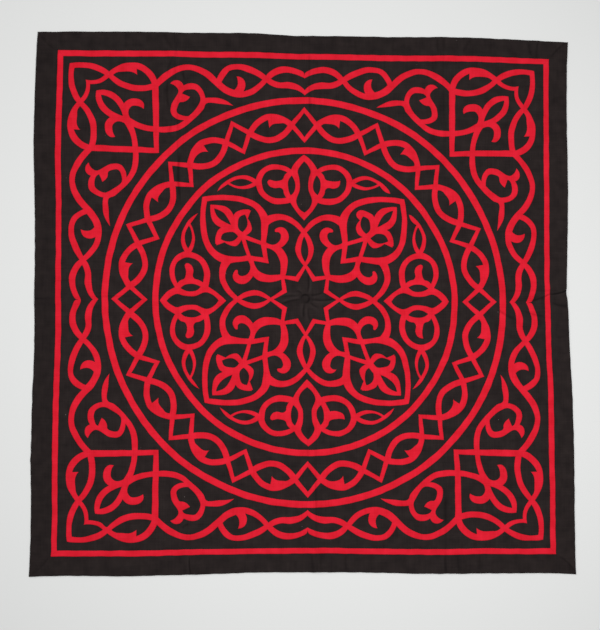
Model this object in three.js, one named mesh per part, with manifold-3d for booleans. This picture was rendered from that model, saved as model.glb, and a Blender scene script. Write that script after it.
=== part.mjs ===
// Applique panel: a square of black cotton with a red cut-cloth arabesque, laid flat, face up.
// Millimetres, +Z up. The origin is on the floor under the middle of the cloth, +Y towards its top edge.
// Every piece is cut flat from a chart of one eighth of the pattern, then laid with the cloth's uneven edges
// and its soft storage folds.
import * as THREE from 'three';
import { mergeVertices } from 'three/addons/utils/BufferGeometryUtils.js';
import Module from 'manifold-3d';

const wasm = await Module();
wasm.setup();

// Cloth
const CLOTH_SIDE = 1030;
const HALF_SIDE = CLOTH_SIDE / 2;
const GROUND_THICK = 1.2;
const PIECE_THICK = 1.0;
const LAYER_GAP = 0.3;
const PIECE_BASE = GROUND_THICK + LAYER_GAP;

// Red frame and rings, measured on the middle of the strap
const FRAME_HALF = 472.5;
const FRAME_WIDTH = 11;
const OUTER_RING = { radius: 384.5, width: 12.8 };
const INNER_RING = { radius: 288, width: 12.2 };
const RING_STEPS = 48;

// Chain between the rings: lozenges and lenses take turns, a lozenge on every axis and diagonal
const CHAIN_RADIUS = 338;
const CHAIN_REPEATS = 16;
const CHAIN_PITCH = (2 * Math.PI) / CHAIN_REPEATS;
const LOZENGE_HALF_ANGLE = THREE.MathUtils.degToRad(4.15);
const LOZENGE_STRAP = { end: 9, tip: 7 };
const LOZENGE_REACHES = [28.5, -29.5];
const LENS_STRAP = 11;
const LENS_STATIONS = 7;

// The two sides of a lens: how far each bows from the chain's middle, and a power under 1 that fills its ends
const LENS_SIDES = [
  { reach: 21, fullness: 1 },
  { reach: -24, fullness: 0.85 },
];

// Placed by hand on the cloth: each net is a little off the middle, a touch taller than wide, and leans as
// it goes up, the medallion most
const FRAME_PLACE = { x: 0.5, y: 1, stretch: 1.003, lean: 0 };
const SCROLL_PLACE = { x: 0, y: 2.7, stretch: 1.004, lean: 0.0065 };
const CHAIN_PLACE = { x: -0.5, y: 3, stretch: 1.0075, lean: 0.009 };
const MEDALLION_PLACE = { x: -1.5, y: 4, stretch: 1.006, lean: 0.015 };
const PALMETTE_PLACES = {
  top: { x: -1.5, y: 5.5, stretch: 1.006, lean: 0.012 },
  right: { x: -2.5, y: 3, stretch: 1.006, lean: 0.012 },
  bottom: { x: -0.5, y: 5.5, stretch: 1.006, lean: 0.012 },
  left: { x: -1.5, y: 1.5, stretch: 1.006, lean: 0.012 },
};

// Straps are drawn finely, a little wider than charted because sewing spreads them, and the joined piece
// keeps only the points that its cut outline needs
const CURVE_TOLERANCE = 0.1;
const CUT_TOLERANCE = 1.1;
const STEPS_PER_SPAN = 12;
const POINTED = 1.2;
const SEWN_SPREAD = 0.5;

// Blocks that cut the cloth along its folds, and how closely its cells are sewn together again
const FOLD_OVERRUN = 200;
const STRIP_HEIGHT = 20;
const SEW_TOLERANCE = 1e-3;
const WELD_TOLERANCE = 1e-4;

// How far each edge of the cloth swells out from its straight line, along the edge. It fades to the middle
// with this power of the distance.
const SWAY_FADE = 6;
const EDGE_SWAY = [
  { along: -515, top: 0.0, bottom: 0.0, left: 0.0, right: 0.0 },
  { along: -400, top: 3.0, bottom: -0.8, left: -0.8, right: -1.5 },
  { along: -300, top: 6.0, bottom: 0.0, left: 2.0, right: -0.8 },
  { along: -200, top: 5.2, bottom: -2.2, left: -1.0, right: -2.2 },
  { along: -100, top: 6.5, bottom: -5.5, left: -2.5, right: -5.2 },
  { along: 0, top: 3.0, bottom: -6.0, left: -1.5, right: -7.0 },
  { along: 100, top: 4.5, bottom: -5.8, left: -0.5, right: -8.0 },
  { along: 200, top: 5.2, bottom: -1.5, left: 1.2, right: -6.5 },
  { along: 300, top: 6.0, bottom: -1.2, left: 4.0, right: -4.5 },
  { along: 400, top: 4.2, bottom: -2.2, left: 3.8, right: -5.0 },
  { along: 515, top: 0.0, bottom: 0.0, left: 0.0, right: 0.0 },
];

// Soft ridges left by folding the cloth in four: an upright one and a level one, straight from edge to edge
const FOLDS = [
  { from: { x: 20, y: -515 }, to: { x: 4, y: 515 }, rise: 2.0, spread: 22 },
  { from: { x: -515, y: 4 }, to: { x: 515, y: 26 }, rise: 2.4, spread: 22 },
];

// Straps of the chart. A row is one station on the middle of a strap: across from the panel's axis, out
// along it, the strap's width there, and its turn: 'mitre' ends on a mirror line, 'corner' bends sharply.
const strap = (...rows) => rows.map(([across, out, width, turn]) => ({ across, out, width, turn }));

const MEDALLION_STRAPS = {
  heartSide: strap(
    [191, 191, 9, 'mitre'], [150, 195, 10], [120, 191, 11], [101, 184.5, 11.5], [86.5, 172.5, 12.5],
    [77.5, 157, 15], [76, 140, 14], [78.5, 119, 10.5], [78.5, 100, 9.5], [74.5, 74.5, 8, 'mitre']),
  arch: strap(
    [77, 150, 16], [68, 152, 16.5], [45, 159, 11], [25, 153, 10.5], [13, 142.5, 10], [0, 131, 7.5, 'mitre']),
  axisLens: strap(
    [0, 131, 7.5, 'mitre'], [8, 115.5, 9.5], [12.5, 98, 10.5], [8.5, 81, 8], [0, 67, 5.5, 'mitre']),
  star: strap([0, 66, 5.5, 'mitre'], [16.5, 40, 8.5, 'corner'], [44, 44, 6, 'mitre']),
  wing: strap(
    [44, 44, 9, 'mitre'], [40.5, 63, 13], [42.5, 83.5, 15.5], [53, 97.5, 14], [66, 102.5, 12], [79, 105, 9]),
  stem: strap([76, 106, 7], [100.5, 113, 7], [121, 121, 8]),
  curl: strap(
    [58, 99, 10], [43.5, 108.5, 11.5], [37.5, 120, 15.5], [39.5, 130, 14], [46.5, 134, 10.5], [57, 131.5, 1]),
  petalOuter: strap(
    [123, 121, 8], [112.5, 128, 9.5], [107, 134, 11.5], [109, 144, 8], [112, 154, 5.5], [110, 163.5, 7],
    [103, 170, 1]),
  petalInner: strap(
    [105, 169, 5], [118, 166, 10], [128, 162, 11.5], [133, 152.5, 13], [135, 142, 13], [133, 131, 12],
    [121, 121, 9]),
  centreLeaf: strap([132, 132, 11], [140, 153, 12], [150, 169, 13], [164, 175.5, 9], [177, 177, 6, 'mitre']),
};

const AXIS_STRAPS = {
  almondSide: strap(
    [0, 272, 9, 'mitre'], [12.5, 260, 11.5], [19.5, 246, 13], [15.5, 234, 11.5], [13, 220, 8.5],
    [14, 207.5, 10], [21.5, 193, 14], [19, 181.5, 9], [10, 170, 9], [0, 159, 9.5, 'mitre']),
  ringArc: strap(
    [21, 243, 9], [38.5, 250, 7], [57, 254.5, 10], [76.5, 247.5, 9.5], [87.5, 231.5, 11.5], [88, 222, 11],
    [83.5, 206, 10], [71.5, 193.5, 10], [54, 187.5, 11.5], [38, 188.5, 11], [22, 192, 10]),
  budBack: strap(
    [22, 246, 8], [34, 235.5, 11], [37, 222, 10], [36, 208, 10.5], [30, 196, 9.5], [24, 188, 8]),
  bud: strap([36, 221, 26], [46, 221.5, 16], [56, 219.5, 14], [64, 222, 12.5, 'corner'], [71, 228, 1]),
  leafUpper: strap(
    [88, 222, 10], [103.5, 229.5, 7], [120, 234, 7], [132, 231.5, 6], [144, 225.5, 6], [156, 216, 6.5],
    [167, 205, 1]),
  leafLower: strap([88, 224, 10], [103.5, 217.5, 6], [117.5, 213.5, 5.5], [131.5, 215, 4], [147, 222, 4]),
};

const SCROLL_STRAPS = {
  bracketOuter: strap(
    [0, 433, 7, 'mitre'], [11, 439, 10], [30, 445, 11], [50, 443.5, 12.5], [64, 435.5, 11], [75, 426, 9]),
  bracketInner: strap(
    [0, 401, 8, 'mitre'], [12.5, 410, 10], [30, 415, 12.5], [50, 415, 11.5], [64, 419.5, 11], [75, 426, 9]),
  teardropOuter: strap(
    [75, 426, 9], [90.5, 435.5, 11.5], [110, 444, 11.5], [130, 448, 10], [148.5, 444.5, 10],
    [159.5, 433, 11.5], [168, 417, 10]),
  wave: strap(
    [75, 426, 9], [86.5, 413.5, 10], [100.5, 402.5, 11], [114, 397, 10.5], [128, 396, 12], [147.5, 401, 13],
    [170.5, 418.5, 11.5], [186, 429.5, 11], [200.5, 440, 11.5], [224, 445.5, 10], [247.5, 440, 11],
    [266, 428, 11], [290, 409, 12]),
  teardropCurl: strap(
    [131, 398, 16], [125, 406, 15], [122.5, 414, 14.5], [124.5, 422, 11.5], [132.5, 430, 1]),
  leafOuter: strap(
    [287, 408, 11], [294, 426, 12], [307, 440, 12], [321.5, 447, 11], [337, 448.5, 10], [354, 445, 10],
    [377, 431, 9]),
  leafInner: strap(
    [286, 409, 11], [306, 405, 11.5], [325, 405, 10.5], [345, 409, 11.5], [364, 419.5, 10], [377, 431, 9]),
  leafBarb: strap([369, 437, 5], [352, 441.5, 10.5], [329, 440.5, 12, 'corner'], [323, 430, 1]),
  kiteOuter: strap(
    [377, 431, 9], [391.5, 440, 11], [406.5, 446, 11], [428, 448.5, 9.5], [447, 447, 9.5, 'mitre']),
  kiteInner: strap([377, 431, 9], [389.5, 421, 8], [402.5, 418.5, 9.5], [416.5, 416.5, 9, 'mitre']),
  squareSide: strap([288.5, 413, 12], [288, 350, 11.5], [286, 286, 9, 'mitre']),
  stemAndBud: strap(
    [344, 344, 13], [321.5, 332.5, 10.5], [286, 326, 10], [252, 328, 11], [235, 335.5, 10],
    [209.5, 360.5, 12], [200.5, 371.5, 12.5], [197.5, 384, 10], [202, 395.5, 9], [207, 406, 11],
    [215.5, 409.5, 11.5], [225.5, 408.5, 11], [238, 402, 10]),
  budBeak: strap([237, 403, 12], [245, 413, 13.5], [252.5, 414, 10], [260, 413.5, 1]),
  budSide: strap(
    [238, 406, 11], [243, 396, 11], [246.5, 382.5, 12], [253, 368.5, 11.5], [252, 356, 11], [240, 349, 8.5],
    [223, 347, 9]),
  budBarb: strap([248, 385, 14], [238, 387, 17, 'corner'], [222.5, 389, 1]),
  tailLeaf: strap([199, 381, 12], [174, 382.5, 12], [159.5, 381, 9], [139, 374, 1]),
  flowerCurl: strap(
    [342, 343, 11], [345, 366, 13], [336, 376, 14], [323.5, 376.5, 13], [316, 373, 11], [311, 364.5, 1]),
  flowerLens: strap(
    [342, 342, 10], [349, 362, 11], [359, 380, 11], [372.5, 391.5, 11.5], [387, 396, 10],
    [396, 396, 8, 'mitre']),
};

// A leaf with a barb that grows from one end of every lens: share of the lens's span, height above its
// middle, width, and its sharp turn to the barb's tip
const LENS_LEAF = [
  { share: 0.06, rise: 4, width: 5 },
  { share: 0.2, rise: 10, width: 10 },
  { share: 0.46, rise: 11.5, width: 13, turn: 'corner' },
  { share: 0.53, rise: 0, width: 1 },
];

// Colours and finish of the two cotton cloths
const BLACK_COTTON = { color: 0x272222, roughness: 0.95, metalness: 0 };
const RED_COTTON = { color: 0xd81f30, roughness: 0.9, metalness: 0 };

// Position and strap width together make a curve in three coordinates, so widths run as smoothly as the line
function smoothRun(rows) {
  const stations = rows.map((row) => new THREE.Vector3(row.across, row.out, row.width));
  if (stations.length === 2) {
    return new THREE.LineCurve3(stations[0], stations[1]);
  }
  return new THREE.CatmullRomCurve3(stations, false, 'centripetal');
}

// The middle of the strap at t, its direction, and its two edges
function sectionAt(curve, t) {
  const station = curve.getPoint(t);
  const ahead = curve.getTangent(t);
  const middle = new THREE.Vector2(station.x, station.y);
  const along = new THREE.Vector2(ahead.x, ahead.y).normalize();
  const aside = new THREE.Vector2(-along.y, along.x);
  const half = station.z < POINTED ? 0 : (station.z + SEWN_SPREAD) / 2;
  return {
    middle,
    along,
    aside,
    half,
    left: middle.clone().addScaledVector(aside, half),
    right: middle.clone().addScaledVector(aside, -half),
  };
}

// Sections of one smooth run, close together
function sectionsOf(curve, spans) {
  const steps = spans * STEPS_PER_SPAN;
  return Array.from({ length: steps + 1 }, (_, step) => sectionAt(curve, step / steps));
}

function strayFromChord(point, start, end) {
  const chord = end.clone().sub(start);
  const length = chord.length();
  const offset = point.clone().sub(start);
  return length > 0 ? Math.abs(chord.cross(offset)) / length : offset.length();
}

// Keep only the points that an edge needs to stay true to the curve
function thinned(edge, tolerance) {
  const start = edge[0];
  const end = edge.at(-1);
  let farthest = 0;
  let stray = tolerance;
  edge.forEach((point, index) => {
    const value = strayFromChord(point, start, end);
    if (value > stray) {
      farthest = index;
      stray = value;
    }
  });
  if (farthest === 0) {
    return [start, end];
  }
  const before = thinned(edge.slice(0, farthest + 1), tolerance);
  return before.concat(thinned(edge.slice(farthest), tolerance).slice(1));
}

// An end on a mirror line is cut along that line: slide each edge along the strap until it meets it
function mitreEnd(section) {
  const onAxis = Math.abs(section.middle.x) < Math.abs(section.middle.y) / 2;
  const away = (point) => (onAxis ? point.x : point.x - point.y);
  for (const edge of [section.left, section.right]) {
    const speed = away(section.along);
    edge.addScaledVector(section.along, -away(edge) / speed);
  }
}

// Two runs that meet at a corner share its mitred edges
function mitreCorner(before, after) {
  const aside = before.aside.clone().add(after.aside).normalize();
  const reach = before.half / aside.dot(before.aside);
  for (const section of [before, after]) {
    section.left.copy(before.middle).addScaledVector(aside, reach);
    section.right.copy(before.middle).addScaledVector(aside, -reach);
  }
}

// The smooth runs of a strap, split at its corners
function runsOf(rows) {
  const runs = [[]];
  rows.forEach((row, index) => {
    runs.at(-1).push(row);
    if (row.turn === 'corner' && index + 1 < rows.length) {
      runs.push([row]);
    }
  });
  return runs.map((run) => sectionsOf(smoothRun(run), run.length - 1));
}

// One edge of a run, without the points that fold back inside a tight bend or pass a mitred end
function edgeOf(run, side) {
  const goesOn = (from, section) => section[side].clone().sub(from).dot(section.along) > 0;
  const edge = [run[0][side]];
  for (const section of run.slice(1, -1)) {
    if (goesOn(edge.at(-1), section)) {
      edge.push(section[side]);
    }
  }
  const end = run.at(-1);
  while (edge.length > 1 && !goesOn(edge.at(-1), end)) {
    edge.pop();
  }
  edge.push(end[side]);
  return thinned(edge, CURVE_TOLERANCE);
}

// The cut outline of one strap, as a closed ring of points
function strapOutline(rows) {
  const runs = runsOf(rows);
  for (let index = 0; index + 1 < runs.length; index += 1) {
    mitreCorner(runs[index].at(-1), runs[index + 1][0]);
  }
  if (rows[0].turn === 'mitre') {
    mitreEnd(runs[0][0]);
  }
  if (rows.at(-1).turn === 'mitre') {
    mitreEnd(runs.at(-1).at(-1));
  }
  const edge = (side) => runs.flatMap((run, index) => {
    const points = edgeOf(run, side);
    return index === 0 ? points : points.slice(1);
  });
  const right = edge('right').reverse();
  if (rows.at(-1).width < POINTED) {
    right.shift();
  }
  return edge('left').concat(right);
}

// Turn a chart outline into its mirror images, numbered by quarter turn and by mirroring in the axis
function placedOutline(outline, quarter, mirrored) {
  const turn = (-quarter * Math.PI) / 2;
  return outline.map((point) => {
    const start = new THREE.Vector2(mirrored ? -point.x : point.x, point.y);
    return start.rotateAround(new THREE.Vector2(0, 0), turn);
  });
}

// A closed mesh as a solid that can be joined and cut
function solidFrom(geometry) {
  const bare = geometry.clone();
  bare.deleteAttribute('normal');
  bare.deleteAttribute('uv');
  const merged = mergeVertices(bare, WELD_TOLERANCE);
  const vertProperties = new Float32Array(merged.attributes.position.array);
  const triVerts = new Uint32Array(merged.index.array);
  return new wasm.Manifold(new wasm.Mesh({ numProp: 3, vertProperties, triVerts }));
}

// A flat piece of cloth cut to an outline, with round or odd holes in it
function cutCloth(outline, thickness, base, holes = []) {
  const shape = new THREE.Shape(outline);
  shape.holes = holes.map((hole) => new THREE.Path(hole));
  const geometry = new THREE.ExtrudeGeometry(shape, { depth: thickness, bevelEnabled: false, steps: 1 });
  return geometry.translate(0, 0, base);
}

// How far an edge swells out at a place along it
function swayAt(side, along) {
  const after = EDGE_SWAY.findIndex((row) => row.along >= along);
  const end = EDGE_SWAY[Math.max(after, 1)];
  const start = EDGE_SWAY[Math.max(after, 1) - 1];
  const share = (along - start.along) / (end.along - start.along);
  return THREE.MathUtils.lerp(start[side], end[side], share);
}

// A flat point as it lies: the sway of the nearest edges fades to the middle
function layOnFloor({ x, y }) {
  const limit = (value) => THREE.MathUtils.clamp(value, -HALF_SIDE, HALF_SIDE);
  const pullX = (x / HALF_SIDE) ** SWAY_FADE;
  const pullY = (y / HALF_SIDE) ** SWAY_FADE;
  const swayX = x > 0 ? swayAt('right', limit(y)) : -swayAt('left', limit(y));
  const swayY = y > 0 ? swayAt('top', limit(x)) : -swayAt('bottom', limit(x));
  return new THREE.Vector2(x + swayX * pullX, y + swayY * pullY);
}

// A chart outline at its place on the cloth
function placeOnCloth(outline, { x, y, stretch, lean }) {
  return outline.map((point) => {
    const up = point.y * stretch;
    return new THREE.Vector2(x + point.x / stretch - lean * up, y + up);
  });
}

// The outline of a flat solid seen from above, as closed rings of points
function ringsOf(solid, middleHeight) {
  const { numProp, vertProperties, triVerts } = solid.getMesh();
  const next = new Map();
  const isTop = (vertex) => vertProperties[vertex * numProp + 2] > middleHeight;
  for (let corner = 0; corner < triVerts.length; corner += 3) {
    const triangle = [triVerts[corner], triVerts[corner + 1], triVerts[corner + 2]];
    if (!triangle.every(isTop)) {
      continue;
    }
    triangle.forEach((from, index) => {
      const to = triangle[(index + 1) % 3];
      if (next.get(to)?.has(from)) {
        next.get(to).delete(from);
      } else {
        next.set(from, (next.get(from) ?? new Set()).add(to));
      }
    });
  }
  const rings = [];
  for (const first of next.keys()) {
    const ring = [];
    let vertex = first;
    while (next.get(vertex)?.size) {
      const [to] = next.get(vertex);
      next.get(vertex).delete(to);
      ring.push(new THREE.Vector2(vertProperties[vertex * numProp], vertProperties[vertex * numProp + 1]));
      vertex = to;
    }
    if (ring.length > 2) {
      rings.push(ring);
    }
  }
  return rings;
}

// Thin a closed ring from two of its points that lie far apart
function thinnedRing(ring) {
  const distances = ring.map((point) => point.distanceTo(ring[0]));
  const far = distances.indexOf(Math.max(...distances));
  const there = thinned(ring.slice(0, far + 1), CUT_TOLERANCE);
  const back = thinned(ring.slice(far).concat([ring[0]]), CUT_TOLERANCE);
  return there.slice(0, -1).concat(back.slice(0, -1));
}

// Folds: each has three straight lines, its crest and its two feet
const FOLD_LINES = FOLDS.map((fold) => {
  const from = new THREE.Vector2(fold.from.x, fold.from.y);
  const along = new THREE.Vector2(fold.to.x, fold.to.y).sub(from).normalize();
  const upright = Math.abs(along.y) > Math.abs(along.x);
  const aside = upright ? new THREE.Vector2(along.y, -along.x) : new THREE.Vector2(-along.y, along.x);
  const distance = (point) => aside.x * (point.x - from.x) + aside.y * (point.y - from.y);
  const line = (offset) => [-FOLD_OVERRUN, CLOTH_SIDE + FOLD_OVERRUN].map((run) =>
    from.clone().addScaledVector(along, run).addScaledVector(aside, offset));
  return { ...fold, upright, distance, line };
});

const bendsOf = (fold) => [-fold.spread, 0, fold.spread];

function foldLift(point) {
  let lift = 0;
  for (const fold of FOLD_LINES) {
    const share = 1 - Math.abs(fold.distance(point)) / fold.spread;
    lift += fold.rise * Math.max(share, 0);
  }
  return lift;
}

// Strips of floor between neighbouring lines, as tall blocks that cut the cloth where it bends
function stripsBetween(folds, upright) {
  const border = (value) => (upright
    ? [new THREE.Vector2(value, -CLOTH_SIDE), new THREE.Vector2(value, CLOTH_SIDE)]
    : [new THREE.Vector2(-CLOTH_SIDE, value), new THREE.Vector2(CLOTH_SIDE, value)]);
  const bends = folds.flatMap((fold) => bendsOf(fold).map((offset) => fold.line(offset)));
  const lines = [border(-CLOTH_SIDE), ...bends, border(CLOTH_SIDE)];
  return lines.slice(0, -1).map((line, index) => {
    const next = lines[index + 1];
    return solidFrom(cutCloth([line[0], line[1], next[1], next[0]], STRIP_HEIGHT, -STRIP_HEIGHT / 2));
  });
}

const UPRIGHT_STRIPS = stripsBetween(FOLD_LINES.filter((fold) => fold.upright), true);
const LEVEL_STRIPS = stripsBetween(FOLD_LINES.filter((fold) => !fold.upright), false);

const onOneLine = (points) => FOLD_LINES.some((fold) => bendsOf(fold).some((level) =>
  points.every((point) => Math.abs(fold.distance(point) - level) < SEW_TOLERANCE)));

// A ring without the points between two others on the same fold line
function withoutSpareCuts(ring) {
  return ring.filter((point, index) => {
    const before = ring.at(index - 1);
    const after = ring[(index + 1) % ring.length];
    return !onOneLine([before, point, after]);
  });
}

// Whether a point lies inside a ring: a level line from it crosses the ring an odd number of times
function contains(ring, point) {
  let inside = false;
  ring.forEach((to, index) => {
    const from = ring.at(index - 1);
    const crosses = (from.y > point.y) !== (to.y > point.y);
    if (crosses && point.x < from.x + ((to.x - from.x) * (point.y - from.y)) / (to.y - from.y)) {
      inside = !inside;
    }
  });
  return inside;
}

// Upper face, lower face and cut edges of the cloth in one cell. Edges on a fold's line stay open, because
// the next cell goes on there.
function cellTriangles(rings, base, top) {
  const corners = [];
  const at = (point, height) => new THREE.Vector3(point.x, point.y, height);
  const holes = rings.filter((ring) => THREE.ShapeUtils.isClockWise(ring));
  for (const outer of rings.filter((ring) => !THREE.ShapeUtils.isClockWise(ring))) {
    const inner = holes.filter((hole) => contains(outer, hole[0]));
    const points = [outer, ...inner].flat();
    for (const [a, b, c] of THREE.ShapeUtils.triangulateShape(outer, inner)) {
      corners.push(at(points[a], top), at(points[b], top), at(points[c], top));
      corners.push(at(points[c], base), at(points[b], base), at(points[a], base));
    }
  }
  for (const ring of rings) {
    ring.forEach((to, index) => {
      const from = ring.at(index - 1);
      if (!onOneLine([from, to])) {
        corners.push(at(from, base), at(to, base), at(to, top));
        corners.push(at(from, base), at(to, top), at(from, top));
      }
    });
  }
  return corners;
}

// Lay a flat piece on the floor, cut it along the folds, bend it and sew its cells together again
function laidGeometry(outline, holes, base, thickness) {
  const laidHoles = holes.map((hole) => hole.map(layOnFloor));
  const flat = solidFrom(cutCloth(outline.map(layOnFloor), thickness, base, laidHoles));
  const corners = [];
  for (const upright of UPRIGHT_STRIPS) {
    const column = flat.intersect(upright);
    for (const level of LEVEL_STRIPS) {
      const rings = ringsOf(column.intersect(level), base + thickness / 2).map(withoutSpareCuts);
      corners.push(...cellTriangles(rings, base, base + thickness));
    }
  }
  for (const corner of corners) {
    corner.z += foldLift(corner);
  }
  const geometry = mergeVertices(new THREE.BufferGeometry().setFromPoints(corners), SEW_TOLERANCE);
  geometry.computeVertexNormals();
  return geometry;
}

// Pieces of the panel, and its sides in the order of quarter turns
const QUARTERS = ['top', 'right', 'bottom', 'left'];
const ALL_QUARTERS = [...QUARTERS.keys()];
const panel = new THREE.Group();
panel.name = 'applique_panel';

function addPiece(name, geometry, finish) {
  const mesh = new THREE.Mesh(geometry, new THREE.MeshStandardMaterial(finish));
  mesh.name = name;
  panel.add(mesh);
}

function addSewnPiece(name, finish, outline, holes = []) {
  addPiece(name, laidGeometry(outline, holes, PIECE_BASE, PIECE_THICK), finish);
}

// A red net is cut in one from all its straps
function addRedNet(name, outlines, place) {
  const straps = outlines.map((outline) => solidFrom(cutCloth(outline, PIECE_THICK, PIECE_BASE)));
  const joined = straps.reduce((whole, next) => whole.add(next));
  const drawn = ringsOf(joined, PIECE_BASE + PIECE_THICK / 2);
  const rings = drawn.map((ring) => placeOnCloth(thinnedRing(ring), place));
  const outer = rings.find((ring) => !THREE.ShapeUtils.isClockWise(ring));
  const holes = rings.filter((ring) => THREE.ShapeUtils.isClockWise(ring));
  addSewnPiece(name, RED_COTTON, outer, holes);
}

function strapCopies(straps, quarters) {
  const copies = [];
  for (const rows of Object.values(straps)) {
    const outline = strapOutline(rows);
    for (const quarter of quarters) {
      for (const mirrored of [false, true]) {
        copies.push(placedOutline(outline, quarter, mirrored));
      }
    }
  }
  return copies;
}

// Edges of the square pieces have a point at each station of the sway
const STATIONS = EDGE_SWAY.map((row) => row.along / HALF_SIDE);

// One side of a square of the given half size, from corner to corner, its ends trimmed
function squareSide(half, trim, quarter) {
  const reach = half - trim;
  const side = STATIONS.map((share) => new THREE.Vector2(share * reach, half));
  return placedOutline(side, quarter, false);
}

const groundOutline = QUARTERS.flatMap((side, quarter) => squareSide(HALF_SIDE, 0, quarter).slice(0, -1));
addPiece('ground_cloth', laidGeometry(groundOutline, [], 0, GROUND_THICK), BLACK_COTTON);

// Border strips lie between the red frame and the cloth's edge, frame strips just inside them
const FRAME_OUTER = FRAME_HALF + FRAME_WIDTH / 2;
const FRAME_INNER = FRAME_HALF - FRAME_WIDTH / 2;
const MITRE_TRIM = LAYER_GAP * Math.SQRT1_2;

QUARTERS.forEach((side, quarter) => {
  const outerEdge = squareSide(HALF_SIDE, MITRE_TRIM, quarter);
  const innerEdge = placeOnCloth(squareSide(FRAME_OUTER + LAYER_GAP, MITRE_TRIM, quarter), FRAME_PLACE);
  const outline = outerEdge.concat(innerEdge.reverse());
  addSewnPiece(`border_${side}`, BLACK_COTTON, outline);
});

QUARTERS.forEach((side, quarter) => {
  const outerEdge = squareSide(FRAME_OUTER, MITRE_TRIM, quarter);
  const innerEdge = squareSide(FRAME_INNER, MITRE_TRIM, quarter);
  const outline = placeOnCloth(outerEdge.concat(innerEdge.reverse()), FRAME_PLACE);
  addSewnPiece(`frame_${side}`, RED_COTTON, outline);
});

// Scroll net of the border
addRedNet('border_scroll', strapCopies(SCROLL_STRAPS, ALL_QUARTERS), SCROLL_PLACE);

// Rings
function addRing(name, { radius, width }) {
  const circle = (size) => new THREE.EllipseCurve(0, 0, size, size).getPoints(RING_STEPS).slice(0, -1);
  const outer = placeOnCloth(circle(radius + width / 2), CHAIN_PLACE);
  const inner = placeOnCloth(circle(radius - width / 2), CHAIN_PLACE);
  addSewnPiece(name, RED_COTTON, outer, [inner]);
}

addRing('outer_ring', OUTER_RING);
addRing('inner_ring', INNER_RING);

// Chain: a row at an angle round the panel and a height above the chain's middle
function chainRow(angle, rise, width, turn) {
  const radius = CHAIN_RADIUS + rise;
  return { across: radius * Math.sin(angle), out: radius * Math.cos(angle), width, turn };
}

function lozengeStraps(middle) {
  return LOZENGE_REACHES.map((reach) => [
    chainRow(middle - LOZENGE_HALF_ANGLE, 0, LOZENGE_STRAP.end),
    chainRow(middle, reach, LOZENGE_STRAP.tip, 'corner'),
    chainRow(middle + LOZENGE_HALF_ANGLE, 0, LOZENGE_STRAP.end),
  ]);
}

function lensStraps(root, tip) {
  const angleAt = (share) => THREE.MathUtils.lerp(root, tip, share);
  const sides = LENS_SIDES.map(({ reach, fullness }) => {
    const rows = [];
    for (let station = 0; station < LENS_STATIONS; station += 1) {
      const share = station / (LENS_STATIONS - 1);
      const bow = Math.max(Math.sin(Math.PI * share), 0) ** fullness;
      rows.push(chainRow(angleAt(share), reach * bow, LENS_STRAP));
    }
    return rows;
  });
  const leaf = LENS_LEAF.map((row) => chainRow(angleAt(row.share), row.rise, row.width, row.turn));
  return [...sides, leaf];
}

function chainStraps() {
  const straps = [];
  for (let repeat = 0; repeat < CHAIN_REPEATS; repeat += 1) {
    const start = repeat * CHAIN_PITCH;
    const rootFirst = repeat % 2 === 0;
    const near = start + LOZENGE_HALF_ANGLE;
    const far = start + CHAIN_PITCH - LOZENGE_HALF_ANGLE;
    straps.push(...lozengeStraps(start));
    straps.push(...(rootFirst ? lensStraps(near, far) : lensStraps(far, near)));
  }
  return straps;
}

addRedNet('lozenge_chain', chainStraps().map(strapOutline), CHAIN_PLACE);

// Palmettes on the axes, and the medallion inside them
QUARTERS.forEach((side, quarter) => {
  addRedNet(`axis_motif_${side}`, strapCopies(AXIS_STRAPS, [quarter]), PALMETTE_PLACES[side]);
});
addRedNet('medallion', strapCopies(MEDALLION_STRAPS, ALL_QUARTERS), MEDALLION_PLACE);

// The origin goes to the middle of the cloth as it lies
const extent = new THREE.Box3().setFromObject(panel).getCenter(new THREE.Vector3());
panel.position.set(-extent.x, -extent.y, 0);

export default panel;
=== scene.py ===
import math
import random

import bmesh
import bpy
import numpy as np
from mathutils import Matrix, Vector, geometry, kdtree, noise


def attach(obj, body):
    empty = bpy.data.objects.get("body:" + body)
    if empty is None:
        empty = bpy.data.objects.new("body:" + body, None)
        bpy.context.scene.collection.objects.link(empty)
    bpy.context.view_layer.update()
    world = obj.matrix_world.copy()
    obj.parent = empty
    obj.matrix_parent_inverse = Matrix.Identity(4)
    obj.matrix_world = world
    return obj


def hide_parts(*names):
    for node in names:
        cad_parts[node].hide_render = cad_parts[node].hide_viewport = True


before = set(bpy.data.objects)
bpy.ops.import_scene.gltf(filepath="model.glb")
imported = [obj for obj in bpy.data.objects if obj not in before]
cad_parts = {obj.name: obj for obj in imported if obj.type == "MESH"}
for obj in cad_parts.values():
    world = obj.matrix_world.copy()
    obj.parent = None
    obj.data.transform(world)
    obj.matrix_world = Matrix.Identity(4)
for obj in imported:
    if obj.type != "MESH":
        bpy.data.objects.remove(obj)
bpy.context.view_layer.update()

MM = 0.001
BODY = "root"

# Viewpoint of the photograph, in metres: a 90 mm lens three metres above the cloth, a little off its middle
CAMERA_AT = Vector((-0.2253, -0.2947, 2.985))
CAMERA_LOOKS_AT = Vector((-0.0097, -0.0274, 0.0))
CAMERA_LENS = 90.06
CAMERA_SENSOR = 36.0

# Pieces of the panel, by the cloth that they are cut from
SIDES = ("top", "right", "bottom", "left")
FRAME_STRIPS = [f"frame_{side}" for side in SIDES]
RED_NETS = ["border_scroll", "outer_ring", "lozenge_chain", "inner_ring", "medallion"]
RED_NETS += [f"axis_motif_{side}" for side in SIDES]

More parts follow.
